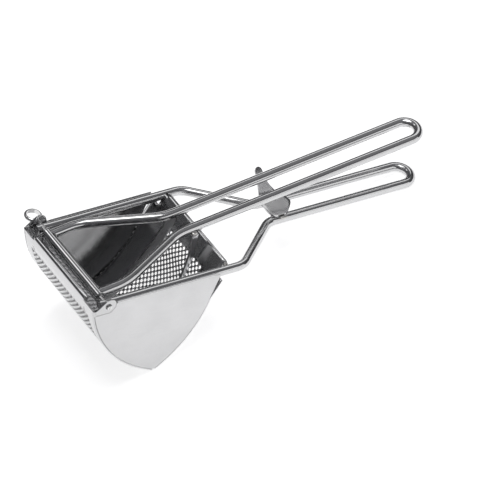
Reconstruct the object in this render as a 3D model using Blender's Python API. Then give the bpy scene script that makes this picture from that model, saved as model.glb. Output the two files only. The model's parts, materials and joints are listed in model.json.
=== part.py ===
"""Potato ricer: a V-shaped sieve hopper in a bent-rod frame, with a hinged rod lever and a press plate.

Every piece is drawn in the rim frame: X runs from the hinge towards the handles, Y runs across the hopper,
Z points up out of its mouth, and the origin is the middle of the hinge axis. The empty "stand" then tips the
whole tool back so that it stands on the hopper's bottom edge and the end of the lower handle.
"""

import math

import bmesh
import bpy
from mathutils import Vector

MM = 0.001

# Rods
ROD_R = 3.5 * MM
ROD_SIDES = 12
RIM_Y = 43.4 * MM
RIM_Z = -1.8 * MM
RIM_FRONT_X = -4.5 * MM
HANDLE_Y = 9.7 * MM
LOWER_SHOULDER_X = 115.6 * MM
LOWER_NECK_X = 156.2 * MM
LOWER_END_X = 281.0 * MM
LOWER_SHOULDER_BEND = 16.0 * MM
LOWER_NECK_BEND = 16.0 * MM
LEVER_PITCH = math.radians(8.4)
LEVER_Y = 33.5 * MM
LEVER_SHOULDER_X = 23.8 * MM
LEVER_NECK_X = 79.4 * MM
LEVER_END_X = 282.5 * MM
LEVER_BEND = 40.0 * MM

# Sheet metal
SHEET = 0.8 * MM
GAP = 0.3 * MM
SIDE_OUTER_Y = 48.0 * MM
REAR_R = 91.2 * MM
REAR_ARC_TOP = math.radians(-13.0)
FRONT_R = 100.0 * MM
FRONT_CENTRE = Vector((86.0 * MM, 17.5 * MM))
FRONT_LIP_DROP = 1.4 * MM
LIP_WRAP_END = math.radians(115.0)
SIDE_WRAP_END = math.radians(50.0)
SIDE_WRAP_FRONT_X = 8.0 * MM
SIDE_WRAP_REAR_X = 92.4 * MM
SIDE_REAR_X = 93.0 * MM
EAR_R = 6.3 * MM
LUG_R = 5.8 * MM
FOLD_R = 0.9 * MM
EAR_ROOT_DROP = 5.6 * MM

# Sieve holes, coarser than the real ones
HOLE_PITCH = 11.0 * MM
HOLE_R = 2.9 * MM
HOLE_COLUMNS = 8
FRONT_HOLE_ROWS = 8
REAR_HOLE_ROWS = 5
HOLE_MARGIN = 4.5 * MM

# Cross rods under the front and rear lips
FRONT_CROSS_R = 1.8 * MM
FRONT_CROSS_HALF = 34.5 * MM
REAR_CROSS_R = 2.0 * MM
REAR_CROSS_HALF = 38.5 * MM
REAR_CROSS_AT = Vector((102.6 * MM, 0.3 * MM))

# Hinge
SLEEVE_R = 3.5 * MM
SLEEVE_HALF = 37.0 * MM
BORE_R = 2.05 * MM
CUTTER_HALF = 60.0 * MM
PIN_R = 1.75 * MM
PIN_SLIT = 0.15 * MM
PIN_NEAR_Y = -50.4 * MM
EYE_NECK_Y = 50.4 * MM
EYE_END_Y = 61.1 * MM
EYE_HALF = 4.9 * MM

# Press plate and its two struts
PRESS_THICK = 1.2 * MM
PRESS_HALF = 39.2 * MM
PRESS_TOP = Vector((-1.6 * MM, -4.4 * MM))
PRESS_TIP = Vector((49.2 * MM, -72.6 * MM))
PRESS_CURVE_R = 80.0 * MM
STRUT_THICK = 1.5 * MM
STRUT_WIDTH = 6.6 * MM
STRUT_TWIST = math.radians(23.0)
STRUT_TOP = Vector((90.3 * MM, 10.5 * MM))
STRUT_KNEE = Vector((90.3 * MM, 2.0 * MM))
STRUT_BELLY = Vector((82.0 * MM, -42.0 * MM))
STRUT_FOOT = Vector((45.4 * MM, -69.8 * MM))
STRUT_TOP_Y = 15.0 * MM
STRUT_FOOT_Y = 22.0 * MM

# Pot rest: a plate across the lower handle, rounded at one end, with a tongue that lifts at the other
REST_THICK = 1.5 * MM
REST_Z = RIM_Z + ROD_R + GAP + REST_THICK / 2
REST_ROOT_X = 169.2 * MM
REST_ROOT_HALF = 11.0 * MM
REST_NEAR_Y = -11.2 * MM
REST_FLAT_Y = 12.0 * MM
REST_TIP_Y = 26.0 * MM
REST_LIFT = 9.5 * MM
REST_TIP_X = 168.0 * MM
REST_TIP_R = 3.0 * MM


def clear_scene():
    for obj in list(bpy.data.objects):
        bpy.data.objects.remove(obj, do_unlink=True)


# ---------- flat geometry, in the XZ or XY plane ----------


def polar(centre, radius, angle):
    return Vector((centre[0] + radius * math.cos(angle), centre[1] + radius * math.sin(angle)))


def arc(centre, radius, start, end, steps):
    """Points along a circle from one angle to another, both ends included."""
    return [polar(centre, radius, start + (end - start) * i / steps) for i in range(steps + 1)]


def circle_meeting(radius_a, radius_b):
    """The lower crossing of a circle round the hinge and one round the front wall's centre."""
    reach = FRONT_CENTRE.length
    along = (radius_a**2 - radius_b**2 + reach**2) / (2 * reach)
    aside = math.sqrt(radius_a**2 - along**2)
    forward = FRONT_CENTRE / reach
    return forward * along + Vector((forward.y, -forward.x)) * aside


def rounded(corners, radii, steps=6):
    """A polyline whose inner corners are replaced by arcs of the given radii."""
    path = [corners[0]]
    for before, corner, after, radius in zip(corners, corners[1:], corners[2:], radii):
        inward = (before - corner).normalized()
        onward = (after - corner).normalized()
        half = inward.angle(onward) / 2
        start = corner + inward * (radius / math.tan(half))
        centre = corner + (inward + onward).normalized() * (radius / math.sin(half))
        spoke = start - centre
        turn = math.copysign(math.pi - 2 * half, inward.x * -onward.y + inward.y * onward.x)
        first = math.atan2(spoke.y, spoke.x)
        path += arc(centre, radius, first, first + turn, steps)
    path.append(corners[-1])
    return path


# ---------- meshes ----------


def finish_mesh(bm, name, material, parent):
    """Turns a bmesh into a smooth-shaded object that hangs from an empty on the hinge axis."""
    bmesh.ops.recalc_face_normals(bm, faces=bm.faces)
    mesh = bpy.data.meshes.new(name)
    bm.to_mesh(mesh)
    bm.free()
    mesh.shade_smooth()
    mesh.set_sharp_from_angle(angle=math.radians(35))
    mesh.materials.append(material)
    obj = bpy.data.objects.new(name, mesh)
    bpy.context.collection.objects.link(obj)
    obj.parent = parent
    return obj


def loft(rings, closed_ends=True):
    """A bmesh skin through rings of equal length, capped at both ends."""
    bm = bmesh.new()
    loops = [[bm.verts.new(point) for point in ring] for ring in rings]
    for lower, upper in zip(loops, loops[1:]):
        for k in range(len(lower)):
            after = (k + 1) % len(lower)
            bm.faces.new((lower[k], lower[after], upper[after], upper[k]))
    if closed_ends:
        bm.faces.new(loops[0])
        bm.faces.new(loops[-1])
    return bm


def swept(path, section, lift=0.0):
    """A section swept along a path in the XY plane. A section point is (towards the left of travel, up)."""
    rings = []
    for i, point in enumerate(path):
        ahead = path[min(i + 1, len(path) - 1)]
        behind = path[max(i - 1, 0)]
        into = (point - behind).normalized() if i else (ahead - point).normalized()
        out = (ahead - point).normalized() if i < len(path) - 1 else into
        tangent = (into + out).normalized()
        stretch = 1 / max(tangent.dot(into), 0.5)
        left = Vector((-tangent.y, tangent.x)) * stretch
        rings.append([(point.x + left.x * u, point.y + left.y * u, lift + v) for u, v in section])
    return loft(rings)


def round_section(radius, sides=ROD_SIDES):
    return [tuple(polar((0, 0), radius, math.tau * (k + 0.5) / sides)) for k in range(sides)]


def ring_across(at, radius, y, sides):
    """A circle of points round an axis parallel to Y."""
    spots = [polar(at, radius, math.tau * k / sides) for k in range(sides)]
    return [(p.x, y, p.y) for p in spots]


def rod_across(name, at, radius, half, material, parent):
    """A straight rod parallel to Y with a small chamfer at each end."""
    chamfer = radius * 0.18
    near_end = [(-half, radius - chamfer), (-half + chamfer, radius)]
    far_end = [(half - chamfer, radius), (half, radius - chamfer)]
    rings = [ring_across(at, r, y, 16) for y, r in near_end + far_end]
    return finish_mesh(loft(rings), name, material, parent)


def grid_sheet(rows):
    """A bmesh of quads between rows of points, where None leaves a gap."""
    bm = bmesh.new()
    verts = [[None if point is None else bm.verts.new(point) for point in row] for row in rows]
    for lower, upper in zip(verts, verts[1:]):
        for k in range(len(lower) - 1):
            corners = (lower[k], lower[k + 1], upper[k + 1], upper[k])
            if None not in corners:
                bm.faces.new(corners)
    return bm, verts


def thicken(obj, thickness):
    """Gives a sheet its thickness, half to each side."""
    solid = obj.modifiers.new("sheet", "SOLIDIFY")
    solid.thickness = thickness
    solid.offset = 0.0
    solid.use_even_offset = True


def hinge_cutter(name, radius, sides, parent):
    """A hidden cylinder along the hinge axis that cuts its way through everything it crosses."""
    rings = [ring_across((0, 0), radius, y, sides) for y in (-CUTTER_HALF, CUTTER_HALF)]
    grey = plain_material("cutter", (0.5, 0.5, 0.5), 0.5)
    cutter = finish_mesh(loft(rings), name, grey, parent)
    cutter.hide_render = True
    cutter.display_type = "WIRE"
    return cutter


def cut(obj, cutter):
    bore = obj.modifiers.new("bore", "BOOLEAN")
    bore.operation = "DIFFERENCE"
    bore.solver = "EXACT"
    bore.object = cutter


# ---------- materials ----------


def plain_material(name, colour, roughness):
    material = bpy.data.materials.new(name)
    material.use_nodes = True
    shader = material.node_tree.nodes["Principled BSDF"]
    shader.inputs["Base Color"].default_value = (*colour, 1.0)
    shader.inputs["Metallic"].default_value = 1.0
    shader.inputs["Roughness"].default_value = roughness
    return material


# ---------- hopper ----------


def wall_rows(arc_at, hole_rows, top_points, tip_margin):
    """Row points up a wall: the tip edge, the half-pitch lines of the sieve, then the plain lip."""
    lines = [tip_margin] + [HOLE_MARGIN + HOLE_PITCH / 2 * i for i in range(2 * hole_rows + 1)]
    return [arc_at(s) for s in lines] + top_points


def wall_columns():
    """Column positions across a wall: its edges, and the half-pitch lines of the sieve."""
    inner = [HOLE_PITCH / 2 * (i - HOLE_COLUMNS) for i in range(2 * HOLE_COLUMNS + 1)]
    return [-SIDE_OUTER_Y] + inner + [SIDE_OUTER_Y]


def punch(bm, verts, arc_at, hole_rows, first_column, columns):
    """Replaces each two-by-two block of quads in the sieve area by a ring of quads round a hole."""
    first_row = 1
    for row in range(hole_rows):
        for column in range(HOLE_COLUMNS):
            i = first_row + 2 * row
            j = first_column + 2 * column
            middle = verts[i + 1][j + 1]
            bmesh.ops.delete(bm, geom=[middle], context="VERTS")
            rim = [(0, 0), (0, 1), (0, 2), (1, 2), (2, 2), (2, 1), (2, 0), (1, 0)]
            outer = [verts[i + a][j + b] for a, b in rim]
            s_mid = HOLE_MARGIN + HOLE_PITCH * (row + 0.5)
            inner = []
            for a, b in rim:
                way = Vector((a - 1, b - 1)).normalized()
                foot = arc_at(s_mid + HOLE_R * way.x)
                inner.append(bm.verts.new((foot.x, columns[j + 1] + HOLE_R * way.y, foot.y)))
            for k in range(8):
                after = (k + 1) % 8
                bm.faces.new((outer[k], outer[after], inner[after], inner[k]))


def tip_clearance():
    """How far each wall's middle line stops short of the other's, so that the two sheets just clear."""
    tip = circle_meeting(REAR_R - SHEET / 2, FRONT_R - SHEET / 2)
    up_rear = Vector((-tip.y, tip.x)).normalized()
    spoke = tip - FRONT_CENTRE
    up_front = Vector((spoke.y, -spoke.x)).normalized()
    return (SHEET / 2) / math.tan(up_rear.angle(up_front) / 2) + GAP


def rear_sieve_wall(material, parent):
    radius = REAR_R - SHEET / 2
    tip = circle_meeting(radius, FRONT_R - SHEET / 2)
    tip_angle = math.atan2(tip.y, tip.x)

    def arc_at(s):
        return polar((0, 0), radius, tip_angle + s / radius)

    wrap_r = REAR_CROSS_R + GAP + SHEET / 2
    lean_foot = polar((0, 0), radius, REAR_ARC_TOP)
    to_rod = REAR_CROSS_AT - lean_foot
    wrap_start = math.atan2(-to_rod.y, -to_rod.x) - math.acos(wrap_r / to_rod.length)
    wrap_start += math.tau if wrap_start < 0 else 0
    wrap = arc(REAR_CROSS_AT, wrap_r, wrap_start, LIP_WRAP_END, 5)
    under_rod = RIM_Z - ROD_R - GAP - SHEET
    corner = lean_foot.lerp(wrap[0], (under_rod - lean_foot.y) / (wrap[0].y - lean_foot.y))
    band = polar((0, 0), radius, REAR_ARC_TOP - math.radians(5))
    profile = wall_rows(arc_at, REAR_HOLE_ROWS, [band, lean_foot, corner] + wrap, tip_clearance())
    columns = wall_columns()
    rows = []
    for index, point in enumerate(profile):
        on_lip = index >= len(profile) - len(wrap)
        reach = REAR_CROSS_HALF + GAP if on_lip else SIDE_OUTER_Y
        rows.append([(point.x, y, point.y) if abs(y) <= reach else None for y in columns])
    bm, verts = grid_sheet(rows)
    punch(bm, verts, arc_at, REAR_HOLE_ROWS, 1, columns)
    wall = finish_mesh(bm, "rear_sieve_wall", material, parent)
    thicken(wall, SHEET)
    return wall


def front_lip_angle():
    """Angle on the front wall's circle where its lip starts to lean over the cross rod."""
    return math.pi + math.asin((FRONT_CENTRE.y + FRONT_LIP_DROP) / (FRONT_R - SHEET / 2))


def front_cross_at():
    return polar(FRONT_CENTRE, FRONT_R - SHEET - GAP - FRONT_CROSS_R, front_lip_angle())


def ear_columns():
    """X positions along an ear, from the fold to its rounded end."""
    nose = [EAR_R * math.sin(math.radians(a)) for a in (-60, -30, 0, 30, 52, 68, 80)]
    return [-9.0 * MM] + nose


def ear_heights(x):
    """Lowest and highest point of the ear at x."""
    reach = math.sqrt(max(EAR_R**2 - x**2, (0.9 * MM) ** 2))
    if x >= 0:
        return -reach, reach
    share = min(1.0, -x / (11.5 * MM))
    return -EAR_R, EAR_R - share**2 * 4.6 * MM


def front_sieve_wall(material, parent, cutter):
    radius = FRONT_R - SHEET / 2
    tip = circle_meeting(REAR_R - SHEET / 2, radius)
    spoke = tip - FRONT_CENTRE
    tip_angle = math.atan2(spoke.y, spoke.x) % math.tau

    def arc_at(s):
        return polar(FRONT_CENTRE, radius, tip_angle - s / radius)

    lip = front_lip_angle()
    ear_rows = 4
    drop = EAR_ROOT_DROP / radius
    root = [polar(FRONT_CENTRE, radius, lip + drop * (1 - i / ear_rows)) for i in range(ear_rows + 1)]
    wrap = arc(front_cross_at(), FRONT_CROSS_R + GAP + SHEET / 2, lip, LIP_WRAP_END, 5)
    profile = wall_rows(arc_at, FRONT_HOLE_ROWS, root + wrap[1:], tip_clearance())
    first_ear = len(profile) - len(root) - len(wrap) + 1
    last_ear = first_ear + ear_rows
    columns = wall_columns()
    ear_y = SIDE_OUTER_Y + GAP + SHEET / 2
    rows = []
    for index, point in enumerate(profile):
        on_lip = index > last_ear
        reach = FRONT_CROSS_HALF if on_lip else SIDE_OUTER_Y
        flat = [(point.x, y, point.y) if abs(y) <= reach else None for y in columns[1:-1]]
        flap = [None] * (3 + len(ear_columns()))
        if not on_lip:
            flap[0] = (point.x, SIDE_OUTER_Y - 0.1 * MM, point.y)
        if first_ear <= index <= last_ear:
            share = (index - first_ear) / ear_rows
            for k, angle in enumerate((45, 90)):
                turn = math.radians(angle)
                x = point.x + FOLD_R * (1 - math.cos(turn))
                y = ear_y - FOLD_R + FOLD_R * math.sin(turn)
                flap[1 + k] = (x, y, point.y)
            for k, x in enumerate(ear_columns()):
                low, high = ear_heights(x)
                flap[3 + k] = (x, ear_y, low + (high - low) * share)
        mirrored = [None if p is None else (p[0], -p[1], p[2]) for p in reversed(flap)]
        rows.append(mirrored + flat + flap)
    bm, verts = grid_sheet(rows)
    all_columns = [0.0] * len(flap) + columns[1:-1] + [0.0] * len(flap)
    punch(bm, verts, arc_at, FRONT_HOLE_ROWS, len(flap), all_columns)
    bmesh.ops.delete(bm, geom=[v for v in bm.verts if not v.link_faces], context="VERTS")
    wall = finish_mesh(bm, "front_sieve_wall", material, parent)
    thicken(wall, SHEET)
    cut(wall, cutter)
    return wall


def side_outline():
    """Lower edge of a side plate, from the front of its mouth round the tip to the rear."""
    inset = SHEET + GAP
    tip = circle_meeting(REAR_R - inset, FRONT_R - inset)
    front_tip = math.atan2(tip.y - FRONT_CENTRE.y, tip.x - FRONT_CENTRE.x) % math.tau
    front = arc(FRONT_CENTRE, FRONT_R - inset, front_lip_angle() + 0.012, front_tip, 14)
    rear = arc((0, 0), REAR_R - inset, math.atan2(tip.y, tip.x), math.radians(-13.5), 12)
    lean = Vector((SIDE_REAR_X, RIM_Z - 1.5 * MM))
    return front + rear[1:] + [lean]


def side_top(x):
    """Height of a side plate's flat part at x: a rounded lug round the hinge, then the rim rod's middle."""
    if abs(x) < LUG_R:
        return max(math.sqrt(LUG_R**2 - x**2), RIM_Z)
    return RIM_Z


def side_plate(name, side, material, parent, cutter):
    inset_y = SIDE_OUTER_Y - SHEET / 2
    outline = side_outline()
    lug = [LUG_R * share for share in (-1.0, -0.8, -0.45, 0.0, 0.45, 0.8, 1.0)]
    stations = {round(p.x, 6): p.y for p in outline}
    for x in lug + [SIDE_WRAP_FRONT_X, SIDE_WRAP_REAR_X]:
        for p, q in zip(outline, outline[1:]):
            if p.x < x < q.x:
                stations[round(x, 6)] = p.y + (q.y - p.y) * (x - p.x) / (q.x - p.x)
    xs = sorted(stations)
    low = [(x, side * inset_y, stations[x]) for x in xs]
    top = [(x, side * inset_y, max(side_top(x), stations[x] + 1.2 * MM)) for x in xs]
    rows = [low, top]
    wrap_r = ROD_R + GAP + SHEET / 2
    steps = 4
    for i in range(1, steps + 1):
        angle = math.pi / 2 + (SIDE_WRAP_END - math.pi / 2) * i / steps
        y = side * (RIM_Y + wrap_r * math.sin(angle))
        z = RIM_Z + wrap_r * math.cos(angle)
        wrapped = [SIDE_WRAP_FRONT_X - MM / 10 <= x <= SIDE_WRAP_REAR_X + MM / 10 for x in xs]
        rows.append([(x, y, z) if keep else None for x, keep in zip(xs, wrapped)])
    bm, _ = grid_sheet(rows)
    plate = finish_mesh(bm, name, material, parent)
    thicken(plate, SHEET)
    cut(plate, cutter)
    return plate


def u_rod_path(front_x, wide_y, shoulder_x, neck_x, end_x, bends):
    """Middle line of a rod that runs along both sides, necks in and closes in a U."""
    corners = [
        Vector((front_x, -wide_y)),
        Vector((shoulder_x, -wide_y)),
        Vector((neck_x, -HANDLE_Y)),
        Vector((end_x - HANDLE_Y, -HANDLE_Y)),
    ]
    half = rounded(corners, bends)
    turn = arc((end_x - HANDLE_Y, 0), HANDLE_Y, -math.pi / 2, math.pi / 2, 12)
    mirrored = [Vector((p.x, -p.y)) for p in reversed(half)]
    return half[:-1] + turn + mirrored[1:]


def frame_rod(material, parent, cutter):
    bends = (LOWER_SHOULDER_BEND, LOWER_NECK_BEND)
    path = u_rod_path(RIM_FRONT_X, RIM_Y, LOWER_SHOULDER_X, LOWER_NECK_X, LOWER_END_X, bends)
    rod = finish_mesh(swept(path, round_section(ROD_R), RIM_Z), "frame_handle_rod", material, parent)
    cut(rod, cutter)
    return rod


def rest_edges(y):
    """The pot rest's two edges at y: a rounded near end, then sides that ease in towards the tongue."""
    if y <= 0:
        share = y / REST_NEAR_Y
        left = REST_ROOT_HALF * (1 - share**4) ** (1 / 4)
        right = REST_ROOT_HALF * (1 - share**1.3) ** (1 / 1.3)
        return REST_ROOT_X - left, REST_ROOT_X + right
    share = y / REST_TIP_Y
    ease = share * share * (3 - 2 * share)
    middle = REST_ROOT_X + (REST_TIP_X - REST_ROOT_X) * ease
    half = REST_ROOT_HALF + (REST_TIP_R - REST_ROOT_HALF) * ease
    return middle - half, middle + half


def rest_height(y):
    """The plate's middle height at y: flat across the handle rods, then lifting to the tip."""
    share = max(0.0, (y - REST_FLAT_Y) / (REST_TIP_Y - REST_FLAT_Y))
    return REST_Z + REST_LIFT * share**1.4


def pot_rest(material, parent):
    """A plate that lies across both handle rods and ends in a tongue that hooks on the edge of a pot."""
    rows = []
    near_shares = (0.97, 0.88, 0.75, 0.55, 0.3)
    far_shares = [i / 9 for i in range(10)]
    for y in [REST_NEAR_Y * s for s in near_shares] + [REST_TIP_Y * s for s in far_shares]:
        rows.append((y, rest_height(y), *rest_edges(y)))
    slope = REST_LIFT * 1.4 / (REST_TIP_Y - REST_FLAT_Y)
    for angle in (35, 65, 82):
        beyond = REST_TIP_R * math.sin(math.radians(angle))
        half = REST_TIP_R * math.cos(math.radians(angle))
        z = REST_Z + REST_LIFT + slope * beyond
        rows.append((REST_TIP_Y + beyond, z, REST_TIP_X - half, REST_TIP_X + half))
    points = [[(low + (high - low) * k / 4, y, z) for k in range(5)] for y, z, low, high in rows]
    bm, _ = grid_sheet(points)
    plate = finish_mesh(bm, "pot_rest_plate", material, parent)
    thicken(plate, REST_THICK)
    return plate


# ---------- lever ----------


def lever_rod(material, parent, cutter):
    """The lever's rod is drawn flat, its two ends hollowed to sit on the sleeve, then pitched up."""
    bends = (LEVER_BEND, LEVER_BEND)
    path = u_rod_path(0.0, LEVER_Y, LEVER_SHOULDER_X, LEVER_NECK_X, LEVER_END_X, bends)
    rod = finish_mesh(swept(path, round_section(ROD_R)), "lever_handle_rod", material, parent)
    rod.rotation_euler = (0.0, -LEVER_PITCH, 0.0)
    cut(rod, cutter)
    return rod


def hinge_sleeve(material, parent):
    """A tube that turns on the hinge pin. Its skin runs out along the outside and back along the bore."""
    sides = 20
    outside = [(-SLEEVE_HALF, SLEEVE_R), (SLEEVE_HALF, SLEEVE_R)]
    inside = [(SLEEVE_HALF, BORE_R), (-SLEEVE_HALF, BORE_R)]
    rings = [ring_across((0, 0), r, y, sides) for y, r in outside + inside]
    bm = loft(rings + rings[:1], closed_ends=False)
    bmesh.ops.remove_doubles(bm, verts=bm.verts, dist=MM / 1000)
    return finish_mesh(bm, "hinge_sleeve", material, parent)


def press_profile(steps=12):
    """The press plate's middle line: one arc that bulges towards the front wall."""
    chord = PRESS_TIP - PRESS_TOP
    normal = Vector((-chord.y, chord.x)).normalized()
    middle = (PRESS_TOP + PRESS_TIP) / 2
    centre = middle + normal * math.sqrt(PRESS_CURVE_R**2 - (chord.length / 2) ** 2)
    start = math.atan2(PRESS_TOP.y - centre.y, PRESS_TOP.x - centre.x)
    end = math.atan2(PRESS_TIP.y - centre.y, PRESS_TIP.x - centre.x)
    if end < start:
        end += math.tau
    return arc(centre, PRESS_CURVE_R, start, end, steps)


def press_plate(material, parent):
    rows = [[(p.x, y, p.y) for y in (-PRESS_HALF, 0.0, PRESS_HALF)] for p in press_profile()]
    bm, _ = grid_sheet(rows)
    plate = finish_mesh(bm, "press_plate", material, parent)
    thicken(plate, PRESS_THICK)
    return plate


def strut_stations(steps=10):
    """Points down a strut in the XZ plane: an upright tab, then a curve down to the press plate."""
    spots = [(STRUT_TOP, STRUT_KNEE - STRUT_TOP, 0.0)]
    for i in range(steps + 1):
        t = i / steps
        spot = STRUT_KNEE * (1 - t) ** 2 + STRUT_BELLY * 2 * t * (1 - t) + STRUT_FOOT * t**2
        along = (STRUT_BELLY - STRUT_KNEE) * (1 - t) + (STRUT_FOOT - STRUT_BELLY) * t
        spots.append((spot, along, t))
    return spots


def press_strut(name, side, material, parent):
    """A flat bar on edge, turned a little about its length. Its foot is cut to lie along the press plate."""
    spots = strut_stations()
    press = press_profile()
    seat = (press[-1] - press[-2]).normalized()
    rows = []
    for spot, along, t in spots:
        across = Vector((-along.y, along.x)).normalized()
        if t == 1.0:
            across = seat / seat.dot(across)
        half = across * (STRUT_WIDTH / 2 * math.cos(STRUT_TWIST))
        turned = -side * STRUT_WIDTH / 2 * math.sin(STRUT_TWIST)
        y = side * (STRUT_TOP_Y + (STRUT_FOOT_Y - STRUT_TOP_Y) * (1 - (1 - t) ** 2))
        rows.append([(spot.x + half.x * k, y + turned * k, spot.y + half.y * k) for k in (-1, 1)])
    bm, _ = grid_sheet(rows)
    strut = finish_mesh(bm, name, material, parent)
    thicken(strut, STRUT_THICK)
    return strut


# ---------- hinge pin ----------


def half_round_section(steps=7):
    """A half disc whose flat side faces the other leg of the split pin."""
    angles = [math.pi * i / steps for i in range(steps + 1)]
    return [(PIN_R * math.sin(a) + PIN_SLIT, PIN_R * math.cos(a)) for a in angles]


def hinge_pin(material, parent):
    """A split pin: a half-round wire that runs out along the axis, round a teardrop eye and back."""
    eye_centre = Vector((0.0, EYE_END_Y - EYE_HALF))
    neck = Vector((0.0, EYE_NECK_Y))
    reach = eye_centre.y - neck.y
    swing = math.asin(min(1.0, EYE_HALF / reach))
    ring = arc(eye_centre, EYE_HALF, -swing, math.pi + swing, 16)
    near = Vector((0.0, PIN_NEAR_Y))
    path = [near, neck] + ring + [neck, near]
    section = [(-u, v) for u, v in half_round_section()]
    return finish_mesh(swept(path, section), "hinge_pin", material, parent)


# ---------- assembly ----------


def stand_on_table(stand, nodes):
    """Tips the tool onto the hopper's bottom edge and the handle's end, and centres its box on the origin."""
    tip = circle_meeting(REAR_R, FRONT_R)
    run = LOWER_END_X - tip.x
    rise = RIM_Z - tip.y
    tilt = math.atan2(rise, run) - math.asin(ROD_R / math.hypot(run, rise))
    stand.rotation_euler = (0.0, tilt, 0.0)
    bpy.context.view_layer.update()
    graph = bpy.context.evaluated_depsgraph_get()
    points = []
    for node in nodes:
        evaluated = node.evaluated_get(graph)
        points += [evaluated.matrix_world @ v.co for v in evaluated.to_mesh().vertices]
        evaluated.to_mesh_clear()
    low = Vector([min(p[k] for p in points) for k in range(3)])
    high = Vector([max(p[k] for p in points) for k in range(3)])
    stand.location = (-(low.x + high.x) / 2, -(low.y + high.y) / 2, -low.z)
    bpy.context.view_layer.update()


def empty(name, parent=None):
    holder = bpy.data.objects.new(name, None)
    bpy.context.collection.objects.link(holder)
    holder.parent = parent
    return holder


def main():
    clear_scene()
    stand = empty("stand")
    lever_axis = empty("lever_axis", stand)
    pin_axis = empty("pin_axis", stand)
    polished = plain_material("polished_rod", (0.78, 0.78, 0.79), 0.16)
    satin = plain_material("satin_sheet", (0.72, 0.72, 0.73), 0.38)
    sieve = plain_material("sieve_sheet", (0.70, 0.70, 0.71), 0.30)
    bore = hinge_cutter("hinge_bore_cutter", BORE_R, 16, stand)
    seat = hinge_cutter("sleeve_seat_cutter", SLEEVE_R + GAP, 24, lever_axis)
    nodes = [
        front_sieve_wall(sieve, stand, bore),
        rear_sieve_wall(sieve, stand),
        side_plate("side_plate_left", -1, satin, stand, bore),
        side_plate("side_plate_right", 1, satin, stand, bore),
        frame_rod(polished, stand, bore),
        rod_across("front_cross_rod", front_cross_at(), FRONT_CROSS_R, FRONT_CROSS_HALF, polished, stand),
        rod_across("rear_cross_rod", REAR_CROSS_AT, REAR_CROSS_R, REAR_CROSS_HALF, polished, stand),
        pot_rest(satin, stand),
        lever_rod(polished, lever_axis, seat),
        hinge_sleeve(polished, lever_axis),
        press_plate(satin, lever_axis),
        press_strut("press_strut_left", -1, satin, lever_axis),
        press_strut("press_strut_right", 1, satin, lever_axis),
        hinge_pin(polished, pin_axis),
    ]
    stand_on_table(stand, nodes)


main()
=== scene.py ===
"""Potato ricer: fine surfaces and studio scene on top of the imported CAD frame.

Shapes are drawn in millimetres in the rim frame: X from the hinge towards the handles, Y across the hopper,
Z up out of its mouth, origin in the middle of the hinge axis. STAND takes them to the frame's world.
"""

import json
import math

import bpy
from mathutils import Matrix, Vector, noise


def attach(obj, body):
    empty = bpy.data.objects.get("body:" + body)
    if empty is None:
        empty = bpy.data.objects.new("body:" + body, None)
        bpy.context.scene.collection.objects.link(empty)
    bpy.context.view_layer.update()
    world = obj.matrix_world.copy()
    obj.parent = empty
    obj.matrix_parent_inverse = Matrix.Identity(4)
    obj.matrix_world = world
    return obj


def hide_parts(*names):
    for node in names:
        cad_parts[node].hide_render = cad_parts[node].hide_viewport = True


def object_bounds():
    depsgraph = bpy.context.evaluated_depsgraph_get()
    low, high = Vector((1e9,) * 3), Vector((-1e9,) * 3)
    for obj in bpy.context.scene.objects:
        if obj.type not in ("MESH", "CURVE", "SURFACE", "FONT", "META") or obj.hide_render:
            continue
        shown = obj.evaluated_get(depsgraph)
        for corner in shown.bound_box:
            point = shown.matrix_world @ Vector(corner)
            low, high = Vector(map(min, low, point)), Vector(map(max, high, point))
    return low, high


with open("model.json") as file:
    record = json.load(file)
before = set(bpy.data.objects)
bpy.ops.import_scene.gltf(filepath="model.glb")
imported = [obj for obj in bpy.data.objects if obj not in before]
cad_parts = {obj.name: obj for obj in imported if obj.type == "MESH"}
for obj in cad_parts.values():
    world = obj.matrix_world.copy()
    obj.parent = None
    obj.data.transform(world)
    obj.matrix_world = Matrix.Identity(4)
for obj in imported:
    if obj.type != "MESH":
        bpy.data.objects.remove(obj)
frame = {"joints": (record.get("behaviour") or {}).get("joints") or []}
cad_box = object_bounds()

MM = 0.001

# Rods
ROD_R = 3.5
RIM_Y = 43.4
RIM_Z = -1.8
RIM_FRONT_X = -4.5
HANDLE_Y = 9.7
LOWER_SHOULDER_X = 115.6
LOWER_NECK_X = 156.2
LOWER_END_X = 281.0
LOWER_BEND = 16.0
LEVER_PITCH = math.radians(8.4)
LEVER_Y = 33.5
LEVER_SHOULDER_X = 23.8
LEVER_NECK_X = 79.4
LEVER_END_X = 282.5
LEVER_BEND = 40.0

# Sheets
SHEET = 0.8
GAP = 0.3
SIDE_OUTER_Y = 48.0
REAR_R = 91.2
REAR_ARC_TOP = math.radians(-13.0)
FRONT_R = 100.0
FRONT_CENTRE = Vector((86.0, 17.5))
FRONT_LIP_DROP = 1.4
LIP_WRAP_END = math.radians(115.0)
SIDE_WRAP_END = math.radians(50.0)
SIDE_WRAP_X = (8.0, 92.4)
SIDE_REAR_X = 93.0
EAR_R = 6.3
EAR_ROOT = 5.6
EAR_FOLD_R = 0.9
EAR_NOSE = (math.radians(118.0), math.radians(-93.0))
LUG_R = 5.8
HOLE_HALF_ALONG = 2.4
HOLE_HALF_ACROSS = 2.2
HOLE_R = 1.3
HOLE_MARGIN = 3.2
FRONT_HOLES = (35, 17)
REAR_HOLES = (31, 11)
PLAIN_EDGE_YS = [42.0, 45.0]
REAR_PLAIN_YS = [31.0, 35.0]
REAR_LIP_HALF = 40.0
SEAM = 0.02

FRONT_CROSS_R = 1.8
FRONT_CROSS_HALF = 34.5
REAR_CROSS_R = 2.0
REAR_CROSS_HALF = 38.5
REAR_CROSS_AT = Vector((102.6, 0.3))

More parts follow.
